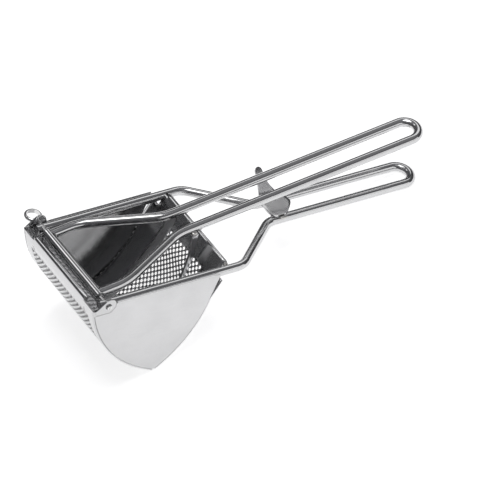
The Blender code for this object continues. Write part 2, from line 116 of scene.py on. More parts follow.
SLEEVE_R = 3.5
SLEEVE_HALF = 37.0
BORE_R = 2.05
PIN_R = 1.75
PIN_SLIT = 0.15
PIN_NEAR_Y = -50.4
EYE_NECK_Y = 50.4
EYE_END_Y = 61.05
EYE_HALF = 4.9

PRESS_THICK = 1.2
PRESS_HALF = 39.2
PRESS_TOP = Vector((-1.6, -4.4))
PRESS_TIP = Vector((49.2, -72.6))
PRESS_CURVE_R = 80.0
STRUT_THICK = 1.5
STRUT_WIDTH = 6.6
STRUT_TWIST = math.radians(23.0)
STRUT_TOP = Vector((90.3, 10.5))
STRUT_KNEE = Vector((90.3, 2.0))
STRUT_BELLY = Vector((82.0, -42.0))
STRUT_FOOT = Vector((45.4, -69.8))
STRUT_TOP_Y = 15.0
STRUT_FOOT_Y = 22.0

REST_THICK = 1.5
REST_Z = RIM_Z + ROD_R + GAP + REST_THICK / 2
REST_ROOT_X = 169.2
REST_ROOT_HALF = 11.0
REST_NEAR_Y = -11.2
REST_FLAT_Y = 12.0
REST_TIP_Y = 26.0
REST_LIFT = 9.5
REST_TIP_X = 168.0
REST_TIP_R = 3.0

# Weld beads: half sizes
STRUT_WELD = (2.6, 1.5, 1.5)
SLEEVE_WELD = (2.4, 1.3, 1.6)
REST_WELD = (3.2, 1.2, 1.1)
BAR_WELD = (2.0, 1.2, 1.6)
WELD_RIPPLE = 0.14

# Metal surfaces: noise scales are per metre, the grain's depth is in metres
CLOUD_SCALE = 38.0
GRAIN_SHARE = 0.45
GRAIN_DEPTH = 0.00004
SCRATCH_SCALE = 260.0
SCRATCH_WIDTH = 0.02

# Camera: a long lens far away, placed in the rim frame
CAMERA_DISTANCE = 12000.0
CAMERA_TARGET = Vector((153.3, 0.0, -34.95))
CAMERA_RIGHT = Vector((0.8443, -0.5142, 0.1509))
CAMERA_UP = Vector((0.2372, 0.6121, 0.7546))
CAMERA_LENS = 1218.24
SENSOR_WIDTH = 36.0

# Studio: each softbox is name, bearing, height in degrees, distance, size in metres, brightness
FLOOR_HALF = 0.9
FLOOR_DROP = 0.0003
FLOOR_GLOW = 0.68
SOFTBOXES = [
    ("softbox_top", 0, 88, 1.6, (0.9, 0.9), 3.2),
    ("softbox_back", 38, 38, 2.0, (1.1, 0.6), 1.0),
    ("softbox_left", 112, 50, 2.0, (0.5, 0.34), 1.8),
    ("softbox_front", -62, 13, 2.0, (2.4, 0.95), 1.0),
]


# ---------- plane geometry ----------


def polar(centre, radius, angle):
    return Vector((centre[0] + radius * math.cos(angle), centre[1] + radius * math.sin(angle)))


def arc(centre, radius, start, end, steps):
    return [polar(centre, radius, start + (end - start) * i / steps) for i in range(steps + 1)]


def circle_meeting(radius_a, radius_b):
    reach = FRONT_CENTRE.length
    along = (radius_a**2 - radius_b**2 + reach**2) / (2 * reach)
    aside = math.sqrt(radius_a**2 - along**2)
    forward = FRONT_CENTRE / reach
    return forward * along + Vector((forward.y, -forward.x)) * aside


def rounded(corners, radii, steps=14):
    path = [corners[0]]
    for before, corner, after, radius in zip(corners, corners[1:], corners[2:], radii):
        inward = (before - corner).normalized()
        onward = (after - corner).normalized()
        half = inward.angle(onward) / 2
        start = corner + inward * (radius / math.tan(half))
        centre = corner + (inward + onward).normalized() * (radius / math.sin(half))
        spoke = start - centre
        turn = math.copysign(math.pi - 2 * half, inward.x * -onward.y + inward.y * onward.x)
        for i in range(steps + 1):
            cos, sin = math.cos(turn * i / steps), math.sin(turn * i / steps)
            path.append(centre + Vector((spoke.x * cos - spoke.y * sin, spoke.x * sin + spoke.y * cos)))
    path.append(corners[-1])
    return path


def xz(p, y):
    return Vector((p.x, y, p.y))


tip_point = circle_meeting(REAR_R, FRONT_R)
stand_run = LOWER_END_X - tip_point.x
stand_rise = RIM_Z - tip_point.y
TILT = math.atan2(stand_rise, stand_run) - math.asin(ROD_R / math.hypot(stand_run, stand_rise))
HINGE = next(j for j in frame["joints"] if j["name"] == "lever_hinge")["pos_m"]
STAND = Matrix.Translation(HINGE) @ Matrix.Rotation(TILT, 4, "Y")
LEVER_TURN = Matrix.Rotation(-LEVER_PITCH, 4, "Y")


# ---------- skins ----------


class Skin:
    """Points, faces, and each face corner's place in the grain: millimetres along and across it."""

    def __init__(self):
        self.points = []
        self.faces = []
        self.grain = []

    def point(self, p):
        self.points.append(Vector(p))
        return len(self.points) - 1

    def face(self, corners, grain):
        self.faces.append(corners)
        self.grain.append(grain)

    def grid(self, rows, grain, ring=False):
        """Quads between rows of points. grain(i, j) gives the grain place of row i, column j."""
        ids = [[None if p is None else self.point(p) for p in row] for row in rows]
        width = len(rows[0]) if ring else len(rows[0]) - 1
        for i in range(len(rows) - 1):
            for j in range(width):
                k = (j + 1) % len(rows[0])
                quad = (ids[i][j], ids[i][k], ids[i + 1][k], ids[i + 1][j])
                if None not in quad:
                    self.face(quad, (grain(i, j), grain(i, j + 1), grain(i + 1, j + 1), grain(i + 1, j)))
        return ids

    def rod(self, path, section, up=Vector((0, 0, 1)), caps=True):
        """A section, given as (left, up) points, swept along a path of 3-D points."""
        rows = []
        lengths = [0.0]
        for a, b in zip(path, path[1:]):
            lengths.append(lengths[-1] + (b - a).length)
        around = [0.0]
        for k in range(len(section)):
            a, b = section[k], section[(k + 1) % len(section)]
            around.append(around[-1] + math.hypot(b[0] - a[0], b[1] - a[1]))
        for i, p in enumerate(path):
            into = (p - path[i - 1]).normalized() if i else (path[1] - p).normalized()
            out = (path[i + 1] - p).normalized() if i < len(path) - 1 else into
            tangent = (into + out).normalized()
            left = up.cross(tangent).normalized() / max(tangent.dot(into), 0.5)
            rows.append([p + left * u + up * v for u, v in section])
        ids = self.grid(rows, lambda i, j: (lengths[i], around[j]), ring=True)
        if caps:
            for ring in (ids[0], ids[-1]):
                self.face(tuple(ring), tuple((0.1 * k, 0.0) for k in range(len(ring))))

    def turned(self, stations, at, sides=28):
        """A round bar parallel to Y, from (y, radius) stations."""
        rows = [[xz(polar(at, r, math.tau * k / sides), y) for k in range(sides)] for y, r in stations]
        ids = self.grid(rows, lambda i, j: (stations[i][0], stations[i][1] * math.tau * j / sides), ring=True)
        return ids


def circle_section(radius, sides=28):
    return [tuple(polar((0, 0), radius, math.tau * (k + 0.5) / sides)) for k in range(sides)]


def build(name, skin, material, body, nodes=(), turn=None, sharp=38):
    """Makes the skin an object in world space that rides on a body and stands for CAD nodes."""
    mesh = bpy.data.meshes.new(name)
    place = STAND @ turn if turn else STAND
    mesh.from_pydata([tuple(place @ (p * MM)) for p in skin.points], [], skin.faces)
    layer = mesh.uv_layers.new(name="grain")
    k = 0
    for corners in skin.grain:
        for u, v in corners:
            layer.data[k].uv = (u, v)
            k += 1
    mesh.shade_smooth()
    mesh.set_sharp_from_angle(angle=math.radians(sharp))
    mesh.materials.append(material)
    obj = bpy.data.objects.new(name, mesh)
    bpy.context.collection.objects.link(obj)
    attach(obj, body)
    if nodes:
        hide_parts(*nodes)
    return obj


def solid(obj, thickness, edge=0.0, offset=0.0):
    """Gives a sheet its thickness, and eases its edges."""
    m = obj.modifiers.new("sheet", "SOLIDIFY")
    m.thickness = thickness * MM
    m.offset = offset
    m.use_even_offset = False
    if edge:
        b = obj.modifiers.new("edge", "BEVEL")
        b.width = edge * MM
        b.segments = 2
        b.limit_method = "ANGLE"
        b.angle_limit = math.radians(50)
    return obj


# ---------- materials ----------


def noise_node(nodes, scale, detail, roughness):
    node = nodes.new("ShaderNodeTexNoise")
    node.inputs["Scale"].default_value = scale
    node.inputs["Detail"].default_value = detail
    node.inputs["Roughness"].default_value = roughness
    return node


def range_node(nodes, from_min, from_max, to_min, to_max):
    node = nodes.new("ShaderNodeMapRange")
    node.inputs["From Min"].default_value = from_min
    node.inputs["From Max"].default_value = from_max
    node.inputs["To Min"].default_value = to_min
    node.inputs["To Max"].default_value = to_max
    return node


def scratched(tree, place, rough_out, scratch):
    """Adds thin long scratches, rougher by scratch, to a roughness."""
    nodes, links = tree.nodes, tree.links
    stretch = nodes.new("ShaderNodeMapping")
    stretch.inputs["Scale"].default_value = (0.16, 1.0, 1.0)
    stretch.inputs["Rotation"].default_value = (0.3, 0.2, 0.7)
    links.new(place.outputs["Object"], stretch.inputs["Vector"])
    cracks = nodes.new("ShaderNodeTexVoronoi")
    cracks.feature = "DISTANCE_TO_EDGE"
    cracks.inputs["Scale"].default_value = SCRATCH_SCALE
    links.new(stretch.outputs["Vector"], cracks.inputs["Vector"])
    thin = range_node(nodes, 0.0, SCRATCH_WIDTH, scratch, 0.0)
    links.new(cracks.outputs["Distance"], thin.inputs["Value"])
    add = nodes.new("ShaderNodeMath")
    add.operation = "ADD"
    links.new(rough_out, add.inputs[0])
    links.new(thin.outputs["Result"], add.inputs[1])
    return add.outputs[0]


def metal(name, colour, rough, rough_span, grain, grain_bump, blotch=0.04, scratch=0.0):
    """Metal with drawn or brushed grain in the grain map, cloudy tone, uneven gloss and fine scratches.

    grain is (along, across): how many grain lines per millimetre in each direction.
    """
    mat = bpy.data.materials.new(name)
    mat.use_nodes = True
    tree = mat.node_tree
    nodes, links = tree.nodes, tree.links
    shader = nodes["Principled BSDF"]
    shader.inputs["Metallic"].default_value = 1.0

    uv = nodes.new("ShaderNodeUVMap")
    uv.uv_map = "grain"
    stretch = nodes.new("ShaderNodeMapping")
    stretch.inputs["Scale"].default_value = (grain[0], grain[1], 1.0)
    links.new(uv.outputs["UV"], stretch.inputs["Vector"])
    lines = noise_node(nodes, 1.0, 4.0, 0.65)
    links.new(stretch.outputs["Vector"], lines.inputs["Vector"])

    place = nodes.new("ShaderNodeTexCoord")
    cloud = noise_node(nodes, CLOUD_SCALE, 5.0, 0.6)
    links.new(place.outputs["Object"], cloud.inputs["Vector"])

    mix = nodes.new("ShaderNodeMix")
    mix.data_type = "FLOAT"
    mix.inputs[0].default_value = GRAIN_SHARE
    links.new(cloud.outputs["Fac"], mix.inputs[2])
    links.new(lines.outputs["Fac"], mix.inputs[3])
    tone = nodes.new("ShaderNodeValToRGB")
    dark, light = tone.color_ramp.elements
    dark.position = 0.32
    dark.color = (*[max(0.0, c - blotch) for c in colour], 1)
    light.position = 0.68
    light.color = (*[min(1.0, c + blotch) for c in colour], 1)
    links.new(mix.outputs[0], tone.inputs["Fac"])
    links.new(tone.outputs["Color"], shader.inputs["Base Color"])

    gloss = range_node(nodes, 0.3, 0.7, max(0.02, rough - rough_span), rough + rough_span)
    links.new(mix.outputs[0], gloss.inputs["Value"])
    rough_out = gloss.outputs["Result"]
    if scratch:
        rough_out = scratched(tree, place, rough_out, scratch)
    links.new(rough_out, shader.inputs["Roughness"])

    bump = nodes.new("ShaderNodeBump")
    bump.inputs["Strength"].default_value = grain_bump
    bump.inputs["Distance"].default_value = GRAIN_DEPTH
    links.new(lines.outputs["Fac"], bump.inputs["Height"])
    links.new(bump.outputs["Normal"], shader.inputs["Normal"])
    return mat


rod_metal = metal("polished_rod", (0.58, 0.58, 0.585), 0.12, 0.03, (0.06, 2.5), 0.25, scratch=0.05)
plate_metal = metal("satin_plate", (0.57, 0.57, 0.575), 0.15, 0.035, (0.05, 5.0), 0.5, scratch=0.04)
sieve_metal = metal("sieve_sheet", (0.55, 0.55, 0.555), 0.18, 0.05, (0.08, 3.0), 0.35, scratch=0.04)
press_metal = metal("press_sheet", (0.60, 0.60, 0.61), 0.16, 0.04, (0.04, 4.0), 0.9)
strut_metal = metal("strut_bar", (0.60, 0.60, 0.61), 0.30, 0.06, (0.06, 3.0), 0.5)
pin_metal = metal("pin_wire", (0.66, 0.66, 0.66), 0.20, 0.05, (0.1, 3.0), 0.4)
weld_metal = metal("weld_bead", (0.58, 0.57, 0.55), 0.30, 0.08, (0.9, 0.9), 0.8, blotch=0.10)


# ---------- rods ----------


def u_path(front_x, wide_y, shoulder_x, neck_x, end_x, bend):
    corners = [
        Vector((front_x, -wide_y)),
        Vector((shoulder_x, -wide_y)),
        Vector((neck_x, -HANDLE_Y)),
        Vector((end_x - HANDLE_Y, -HANDLE_Y)),
    ]
    half = rounded(corners, (bend, bend))
    turn = arc((end_x - HANDLE_Y, 0), HANDLE_Y, -math.pi / 2, math.pi / 2, 28)
    return half[:-1] + turn + [Vector((p.x, -p.y)) for p in reversed(half[:-1])]


def frame_rod():
    skin = Skin()
    flat = u_path(RIM_FRONT_X, RIM_Y, LOWER_SHOULDER_X, LOWER_NECK_X, LOWER_END_X, LOWER_BEND)
    skin.rod([Vector((p.x, p.y, RIM_Z)) for p in flat], circle_section(ROD_R))
    build("rim_and_lower_handle", skin, rod_metal, "hopper", ["frame_handle_rod"])


def lever_rod():
    skin = Skin()
    flat = u_path(0.0, LEVER_Y, LEVER_SHOULDER_X, LEVER_NECK_X, LEVER_END_X, LEVER_BEND)
    skin.rod([Vector((p.x, p.y, 0.0)) for p in flat], circle_section(ROD_R))
    nodes = ["lever_handle_rod"]
    build("lever_and_upper_handle", skin, rod_metal, "lever", nodes, LEVER_TURN)


def cross_rod(name, node, at, radius, half):
    skin = Skin()
    c = radius * 0.18
    stations = [(-half, radius * 0.3), (-half, radius - c)]
    stations += [(-half + c * 0.35, radius - c * 0.35), (-half + c, radius)]
    stations += [(-y, r) for y, r in reversed(stations)]
    ids = skin.turned(stations, at)
    for ring in (ids[0], ids[-1]):
        skin.face(tuple(ring), tuple((0.0, 0.1 * k) for k in range(len(ring))))
    build(name, skin, rod_metal, "hopper", [node])


# ---------- sieve walls ----------


class Perforated:
    """A sheet placed by place(s, y), s up the wall in millimetres, with a diagonal field of round holes."""

    def __init__(self, place, hole_rows, hole_columns, corner_s):
        self.skin = Skin()
        self.place = place
        self.rows = hole_rows
        self.columns = hole_columns
        self.corner_s = corner_s
        self.seen = {}

    def at(self, s, y):
        key = (round(s, 3), round(y, 3))
        if key not in self.seen:
            self.seen[key] = self.skin.point(self.place(s, y))
        return self.seen[key]

    def knot(self, i, j):
        return (HOLE_MARGIN + i * HOLE_HALF_ALONG, j * HOLE_HALF_ACROSS)

    def edge(self, a, b, steps=3):
        return [(a[0] + (b[0] - a[0]) * k / steps, a[1] + (b[1] - a[1]) * k / steps) for k in range(steps)]

    def polygon(self, spots):
        self.skin.face(tuple(self.at(*p) for p in spots), tuple((p[0], p[1]) for p in spots))

    def holes(self):
        for i in range(1, self.rows + 1):
            for j in range(-self.columns, self.columns + 1):
                if (i + j) % 2:
                    continue
                mid = self.knot(i, j)
                ends = [self.knot(i + 1, j), self.knot(i, j + 1), self.knot(i - 1, j), self.knot(i, j - 1)]
                outer = [p for k in range(4) for p in self.edge(ends[k], ends[(k + 1) % 4])]
                count = len(outer)
                inner = []
                for k in range(count):
                    a = math.tau * k / count
                    inner.append((mid[0] + HOLE_R * math.cos(a), mid[1] + HOLE_R * math.sin(a)))
                for k in range(count):
                    m = (k + 1) % count
                    self.polygon([outer[k], outer[m], inner[m], inner[k]])

    def hems(self):
        """Straightens the zigzag edge of the hole field."""
        top, side = self.rows + 1, self.columns + 1
        for i, inward in ((0, 1), (top, -1)):
            for j in range(-self.columns, self.columns - 1, 2):
                a, b, c = self.knot(i, j), self.knot(i + inward, j + 1), self.knot(i, j + 2)
                self.polygon(self.edge(a, b) + self.edge(b, c) + [c])
        for j, inward in ((-side, 1), (side, -1)):
            for i in range(1, self.rows, 2):
                a, b, c = self.knot(i, j), self.knot(i + 1, j + inward), self.knot(i + 2, j)
                self.polygon(self.edge(a, b) + self.edge(b, c) + [c])
        for i, up in ((0, 1), (top, -1)):
            for j, across in ((-side, 1), (side, -1)):
                a, b = self.knot(i, j + across), self.knot(i + up, j)
                self.polygon([self.knot(i, j)] + self.edge(a, b) + [b])

    def border(self, low, lip, edges, lip_half):
        """The plain sheet round the holes.

        low and lip are s values below and above the holes, and edges are |y| values outside them.
        Above corner_s the sheet is only as wide as the lip.
        """
        s_field = [self.knot(i, 0)[0] for i in [0] + list(range(1, self.rows + 1, 2)) + [self.rows + 1]]
        y_field = [self.knot(0, j)[1] for j in range(-self.columns, self.columns + 1, 2)]
        y_end = self.knot(0, self.columns + 1)[1]
        y_out = [y_end, lip_half] + edges
        y_all = sorted(y_field + y_out + [-y for y in y_out])
        s_all = low + s_field + lip
        s_first, s_last = s_field[0], s_field[-1]
        for s0, s1 in zip(s_all, s_all[1:]):
            for y0, y1 in zip(y_all, y_all[1:]):
                if y1 - y0 < 0.01:
                    continue
                reach = max(abs(y0), abs(y1))
                in_field = s0 >= s_first - 0.01 and s1 <= s_last + 0.01 and reach <= y_end + 0.01
                beyond = s1 > self.corner_s + 0.01 and reach > lip_half + 0.01
                if not in_field and not beyond:
                    self.polygon([(s0, y0), (s0, y1), (s1, y1), (s1, y0)])


def profile_walker(points):
    """A function from the distance along a fine polyline to the point there."""
    lengths = [0.0]
    for a, b in zip(points, points[1:]):
        lengths.append(lengths[-1] + (b - a).length)

    def walk(s):
        s = min(max(s, 0.0), lengths[-1])
        for k in range(1, len(lengths)):
            if s <= lengths[k] + 1e-9:
                t = (s - lengths[k - 1]) / max(lengths[k] - lengths[k - 1], 1e-9)
                return points[k - 1].lerp(points[k], t)
        return points[-1]

    return walk, lengths


def rear_wall():
    radius = REAR_R - SHEET / 2
    tip = circle_meeting(radius, FRONT_R - SHEET / 2)
    tip_angle = math.atan2(tip.y, tip.x)
    wrap_r = REAR_CROSS_R + GAP + SHEET / 2
    foot = polar((0, 0), radius, REAR_ARC_TOP)
    to_rod = REAR_CROSS_AT - foot
    start = math.atan2(-to_rod.y, -to_rod.x) - math.acos(wrap_r / to_rod.length)
    start += math.tau if start < 0 else 0
    wrap = arc(REAR_CROSS_AT, wrap_r, start, LIP_WRAP_END, 14)
    curve = arc((0, 0), radius, tip_angle, REAR_ARC_TOP, 60)
    walk, lengths = profile_walker(curve + wrap)
    arc_end = lengths[60]
    wrap_start = lengths[61]
    share = (RIM_Z - ROD_R - GAP - SHEET - foot.y) / (wrap[0].y - foot.y)
    corner = arc_end + (wrap_start - arc_end) * share
    sheet = Perforated(lambda s, y: xz(walk(s), y), *REAR_HOLES, corner)
    top_hole = sheet.knot(REAR_HOLES[0] + 1, 0)[0]
    lip = [s for s in (arc_end, corner) if s > top_hole + 0.2]
    lip += [wrap_start + (lengths[-1] - wrap_start) * k / 14 for k in range(15)]
    sheet.holes()
    sheet.hems()
    sheet.border([1.0], lip, REAR_PLAIN_YS + PLAIN_EDGE_YS + [SIDE_OUTER_Y], REAR_LIP_HALF)
    wall = build("rear_sieve", sheet.skin, sieve_metal, "hopper", ["rear_sieve_wall"])
    solid(wall, SHEET)


def front_lip_angle():
    return math.pi + math.asin((FRONT_CENTRE.y + FRONT_LIP_DROP) / (FRONT_R - SHEET / 2))


def front_cross_at():
    return polar(FRONT_CENTRE, FRONT_R - SHEET - GAP - FRONT_CROSS_R, front_lip_angle())


def ear_skin(skin, side, root):
    """The ear: a fold round the corner, then a plate with a rounded nose and the pin hole."""
    y_ear = side * (SIDE_OUTER_Y + GAP + SHEET / 2)
    rows = []
    for p in root:
        row = [Vector((p.x, side * (SIDE_OUTER_Y - 0.1), p.y))]
        for k in range(1, 6):
            a = math.pi / 2 * k / 5
            y = y_ear - side * EAR_FOLD_R * (1 - math.sin(a))
            row.append(Vector((p.x + EAR_FOLD_R * (1 - math.cos(a)), y, p.y)))
        rows.append(row)
    skin.grid(rows, lambda i, j: (root[i].y, j * 0.5))
    low, high = rows[0][-1], rows[-1][-1]
    outline = [Vector((low.x, low.z)), Vector((high.x, high.z))]
    hull = outline + arc((0, 0), EAR_R, *EAR_NOSE, 40)
    count = 64
    ring_r = BORE_R + 0.25
    rows = [[], [], [], []]
    for k in range(count):
        a = math.tau * k / count
        way = Vector((math.cos(a), math.sin(a)))
        reach = 1e9
        for m, p in enumerate(hull):
            q = hull[(m + 1) % len(hull)]
            normal = Vector((-(q - p).y, (q - p).x))
            if normal.dot(p) < 0:
                normal = -normal
            if normal.dot(way) > 1e-9:
                reach = min(reach, normal.dot(p) / normal.dot(way))
        for n, share in enumerate((0.0, 0.15, 0.6, 1.0)):
            r = ring_r + (reach - ring_r) * share
            rows[n].append(Vector((r * way.x, y_ear, r * way.y)))
    skin.grid(rows, lambda i, j: (rows[i][j % count].x, rows[i][j % count].z), ring=True)


def front_wall():
    radius = FRONT_R - SHEET / 2
    tip = circle_meeting(REAR_R - SHEET / 2, radius)
    spoke = tip - FRONT_CENTRE
    tip_angle = math.atan2(spoke.y, spoke.x) % math.tau
    lip = front_lip_angle()
    wrap = arc(front_cross_at(), FRONT_CROSS_R + GAP + SHEET / 2, lip, LIP_WRAP_END, 14)
    curve = arc(FRONT_CENTRE, radius, tip_angle, lip, 70)
    walk, lengths = profile_walker(curve + wrap[1:])
    top = lengths[70]
    sheet = Perforated(lambda s, y: xz(walk(s), y), *FRONT_HOLES, top)
    root_s = [top - EAR_ROOT + EAR_ROOT * k / 6 for k in range(7)]
    lip_s = root_s + [top + (lengths[-1] - top) * k / 14 for k in range(1, 15)]
    sheet.holes()
    sheet.hems()
    sheet.border([1.0], lip_s, PLAIN_EDGE_YS + [SIDE_OUTER_Y - 0.1], FRONT_CROSS_HALF)
    root = [walk(s) for s in root_s]
    for side in (-1, 1):
        ear_skin(sheet.skin, side, root)
    wall = build("front_sieve", sheet.skin, sieve_metal, "hopper", ["front_sieve_wall"])
    solid(wall, SHEET)


# ---------- side plates ----------


def side_plate(name, node, side):
    inset = SHEET + GAP
    rear_r = REAR_R - SHEET - SEAM
    tip = circle_meeting(rear_r, FRONT_R - inset)
    front_tip = math.atan2(tip.y - FRONT_CENTRE.y, tip.x - FRONT_CENTRE.x) % math.tau
    outline = arc(FRONT_CENTRE, FRONT_R - inset, front_lip_angle() + 0.012, front_tip, 60)
    outline += arc((0, 0), rear_r, math.atan2(tip.y, tip.x), math.radians(-13.5), 48)[1:]
    outline.append(Vector((SIDE_REAR_X, RIM_Z - 1.5)))
    xs = sorted(
        [p.x for p in outline]
        + [LUG_R * math.sin(math.radians(a)) for a in range(-90, 91, 10)]
        + list(SIDE_WRAP_X)
        + [SIDE_WRAP_X[0] - 0.4, SIDE_WRAP_X[0] + 0.4]
    )
    xs = [xs[0]] + [b for a, b in zip(xs, xs[1:]) if b - a > 0.06]

    def low(x):
        for p, q in zip(outline, outline[1:]):
            if p.x <= x <= q.x:
                return p.y + (q.y - p.y) * (x - p.x) / max(q.x - p.x, 1e-6)
        return outline[-1].y

    def top(x):
        lug = math.sqrt(max(LUG_R**2 - x**2, 0.0)) if abs(x) < LUG_R else 0.0
        return max(lug, RIM_Z, low(x) + 1.2)

    y_flat = side * (SIDE_OUTER_Y - SHEET / 2)
    rows = []
    for share in (0.0, 0.12, 0.3, 0.5, 0.7, 0.88, 1.0):
        rows.append([Vector((x, y_flat, low(x) + (top(x) - low(x)) * share)) for x in xs])
    wrap_r = ROD_R + GAP + SHEET / 2
    for k in range(1, 11):
        a = math.pi / 2 + (SIDE_WRAP_END - math.pi / 2) * k / 10
        y = side * (RIM_Y + wrap_r * math.sin(a))
        z = RIM_Z + wrap_r * math.cos(a)
        rolled = [SIDE_WRAP_X[0] - 0.1 <= x <= SIDE_WRAP_X[1] + 0.1 for x in xs]
        rows.append([Vector((x, y, z)) if roll else None for x, roll in zip(xs, rolled)])

    def grain(i, j):
        spot = rows[i][j]
        return (xs[j], spot.z if spot else 0.0)

    skin = Skin()
    skin.grid(rows, grain)
    plate = build(name, skin, plate_metal, "hopper", [node])
    solid(plate, SHEET, 0.15)


# ---------- pot rest ----------


def rest_edges(y):
    """The pot rest's two edges at y: a rounded near end, then sides that ease in towards the tongue."""
    if y <= 0:
        share = y / REST_NEAR_Y
        left = REST_ROOT_HALF * (1 - share**4) ** (1 / 4)
        right = REST_ROOT_HALF * (1 - share**1.3) ** (1 / 1.3)
        return REST_ROOT_X - left, REST_ROOT_X + right
    share = y / REST_TIP_Y
    ease = share * share * (3 - 2 * share)
    middle = REST_ROOT_X + (REST_TIP_X - REST_ROOT_X) * ease
    half = REST_ROOT_HALF + (REST_TIP_R - REST_ROOT_HALF) * ease
    return middle - half, middle + half


def rest_height(y):
    share = max(0.0, (y - REST_FLAT_Y) / (REST_TIP_Y - REST_FLAT_Y))
    return REST_Z + REST_LIFT * share**1.4


def pot_rest():
    stations = []
    near = [0.985, 0.96, 0.92, 0.87, 0.8, 0.72, 0.62, 0.5, 0.37, 0.2]
    for y in [REST_NEAR_Y * s for s in near] + [REST_TIP_Y * k / 32 for k in range(33)]:
        stations.append((y, rest_height(y), *rest_edges(y)))
    slope = REST_LIFT * 1.4 / (REST_TIP_Y - REST_FLAT_Y)
    for a in range(12, 86, 8):
        beyond = REST_TIP_R * math.sin(math.radians(a))
        half = REST_TIP_R * math.cos(math.radians(a))
        z = REST_Z + REST_LIFT + slope * beyond
        stations.append((REST_TIP_Y + beyond, z, REST_TIP_X - half, REST_TIP_X + half))
    rows = [[Vector((low + (high - low) * k / 10, y, z)) for k in range(11)] for y, z, low, high in stations]
    skin = Skin()
    skin.grid(rows, lambda i, j: (rows[i][min(j, 10)].y, rows[i][min(j, 10)].x))
    plate = build("pot_rest", skin, plate_metal, "hopper", ["pot_rest_plate"])
    solid(plate, REST_THICK, 0.3)


# ---------- lever group ----------


def hinge_sleeve():
    skin = Skin()
    c = 0.35
    outer = [(-SLEEVE_HALF, SLEEVE_R - c), (-SLEEVE_HALF + c, SLEEVE_R)]
    outer += [(-y, r) for y, r in reversed(outer)]
    stations = [(-SLEEVE_HALF, BORE_R)] + outer + [(SLEEVE_HALF, BORE_R), (-SLEEVE_HALF, BORE_R)]
    skin.turned(stations, (0, 0), 32)
    build("hinge_tube", skin, rod_metal, "lever", ["hinge_sleeve"])


def press_line(steps=60):
    chord = PRESS_TIP - PRESS_TOP
    normal = Vector((-chord.y, chord.x)).normalized()
    centre = (PRESS_TOP + PRESS_TIP) / 2 + normal * math.sqrt(PRESS_CURVE_R**2 - (chord.length / 2) ** 2)
    start = math.atan2(PRESS_TOP.y - centre.y, PRESS_TOP.x - centre.x)
    end = math.atan2(PRESS_TIP.y - centre.y, PRESS_TIP.x - centre.x)
    if end < start:
        end += math.tau
    return arc(centre, PRESS_CURVE_R, start, end, steps)


def press_plate():
    ys = [PRESS_HALF * k / 12 for k in range(-12, 13)]
    rows = [[xz(p, y) for y in ys] for p in press_line()]
    skin = Skin()
    skin.grid(rows, lambda i, j: (i * 1.45, ys[min(j, 24)]))
    plate = build("press_blade", skin, press_metal, "lever", ["press_plate"])
    solid(plate, PRESS_THICK, 0.2)


def press_strut(name, node, side):
    press = press_line(12)
    seat = (press[-1] - press[-2]).normalized()
    down = STRUT_KNEE - STRUT_TOP
    spots = [(STRUT_TOP + down * k / 4, down, 0.0) for k in range(4)]
    for k in range(33):
        t = k / 32
        spot = STRUT_KNEE * (1 - t) ** 2 + STRUT_BELLY * 2 * t * (1 - t) + STRUT_FOOT * t**2
        along = (STRUT_BELLY - STRUT_KNEE) * (1 - t) + (STRUT_FOOT - STRUT_BELLY) * t
        spots.append((spot, along, t))
    rows = []
    for spot, along, t in spots:
        across = Vector((-along.y, along.x)).normalized()
        if t == 1.0:
            across = seat / seat.dot(across)
        half = across * (STRUT_WIDTH / 2 * math.cos(STRUT_TWIST))
        turned = -side * STRUT_WIDTH / 2 * math.sin(STRUT_TWIST)
        y = side * (STRUT_TOP_Y + (STRUT_FOOT_Y - STRUT_TOP_Y) * (1 - (1 - t) ** 2))
        rows.append([xz(spot + half * m, y + turned * m) for m in (-1, -1 / 3, 1 / 3, 1)])
    skin = Skin()
    skin.grid(rows, lambda i, j: (i * 3.0, j * 2.2))
    strut = build(name, skin, strut_metal, "lever", [node])
    solid(strut, STRUT_THICK, 0.25)


def hinge_pin():
    skin = Skin()
    eye = Vector((0.0, EYE_END_Y - EYE_HALF))
    neck = Vector((0.0, EYE_NECK_Y))
    near = Vector((0.0, PIN_NEAR_Y))
    swing = math.asin(EYE_HALF / (eye.y - neck.y))
    ring = arc(eye, EYE_HALF, -swing, math.pi + swing, 40)
    angles = [math.pi * i / 14 for i in range(15)]
    section = [(-(PIN_R * math.sin(a) + PIN_SLIT), PIN_R * math.cos(a)) for a in angles]
    first = rounded([near, neck, ring[0]], (2.5,), 6)
    last = [Vector((-p.x, p.y)) for p in reversed(first)]
    path = [Vector((p.x, p.y, 0.0)) for p in first + ring[1:-1] + last]
    skin.rod(path, section)
    build("split_pin", skin, pin_metal, "pin", ["hinge_pin"])


# ---------- welds ----------


def bead(name, at, size, body, seed):
    """A small uneven weld bead: a squashed ball with a rippled skin, its long axis along X."""
    skin = Skin()
    rows = []
    rings, sides = 10, 18
    for i in range(rings + 1):
        polar_angle = math.pi * (0.02 + 0.96 * i / rings)
        row = []
        for k in range(sides):
            turn = math.tau * k / sides
            ring_r = math.sin(polar_angle)
            way = Vector((math.cos(polar_angle), ring_r * math.cos(turn), ring_r * math.sin(turn)))
            swell = 1 + WELD_RIPPLE * noise.noise(way * 2.2 + Vector((seed, 0, 0)))
            spot = Vector((way.x * size[0], way.y * size[1], way.z * size[2]))
            row.append(Vector(at) + spot * swell)
        rows.append(row)
    ids = skin.grid(rows, lambda i, j: (i * 0.6, j * 0.6), ring=True)
    for ring in (ids[0], ids[-1]):
        skin.face(tuple(ring), tuple((0.1 * k, 0.0) for k in range(len(ring))))
    build(name, skin, weld_metal, body, ())


